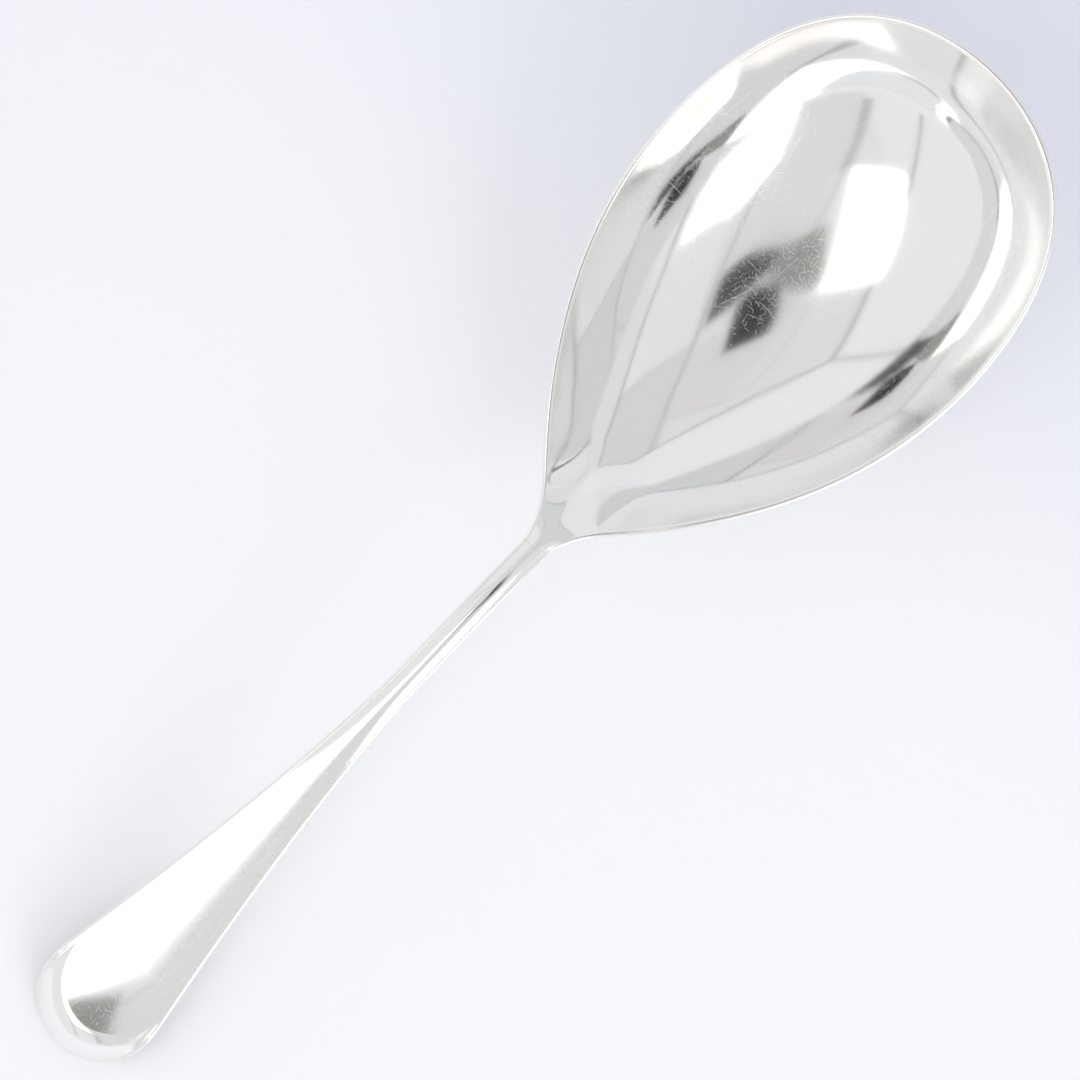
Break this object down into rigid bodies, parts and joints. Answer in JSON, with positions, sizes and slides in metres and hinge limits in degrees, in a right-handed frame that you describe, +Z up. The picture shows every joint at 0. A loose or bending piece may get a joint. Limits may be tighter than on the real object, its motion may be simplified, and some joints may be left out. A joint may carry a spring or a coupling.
{
  "type": "rice spoon",
  "caption": "Large polished silver serving spoon: deep egg-shaped bowl, narrow stem and a broad round end turned down at its edge.",
  "frame": {"origin": "on the table under the middle of the spoon's overall length, on its plane of symmetry", "axes": "+X along the spoon from the handle's end to the bowl's tip, +Z up out of the bowl, +Y across"},
  "size_m": [0.2394, 0.0722, 0.0325],
  "materials": {
    "polished_silver": "sheet silver raised and polished bright, with fine hairline scratches from use",
    "forged_silver": "forged silver filed and polished bright, a little softer than the bowl, with fine scratches",
    "silver_solder": "hard silver solder, filed flush, slightly warmer and duller than the silver"
  },
  "bodies": {
    "root": {"bowl": "polished_silver", "handle": "forged_silver", "heel_drop": "forged_silver", "neck_solder": "silver_solder", "drop_solder": "silver_solder"}
  },
  "joints": []
}
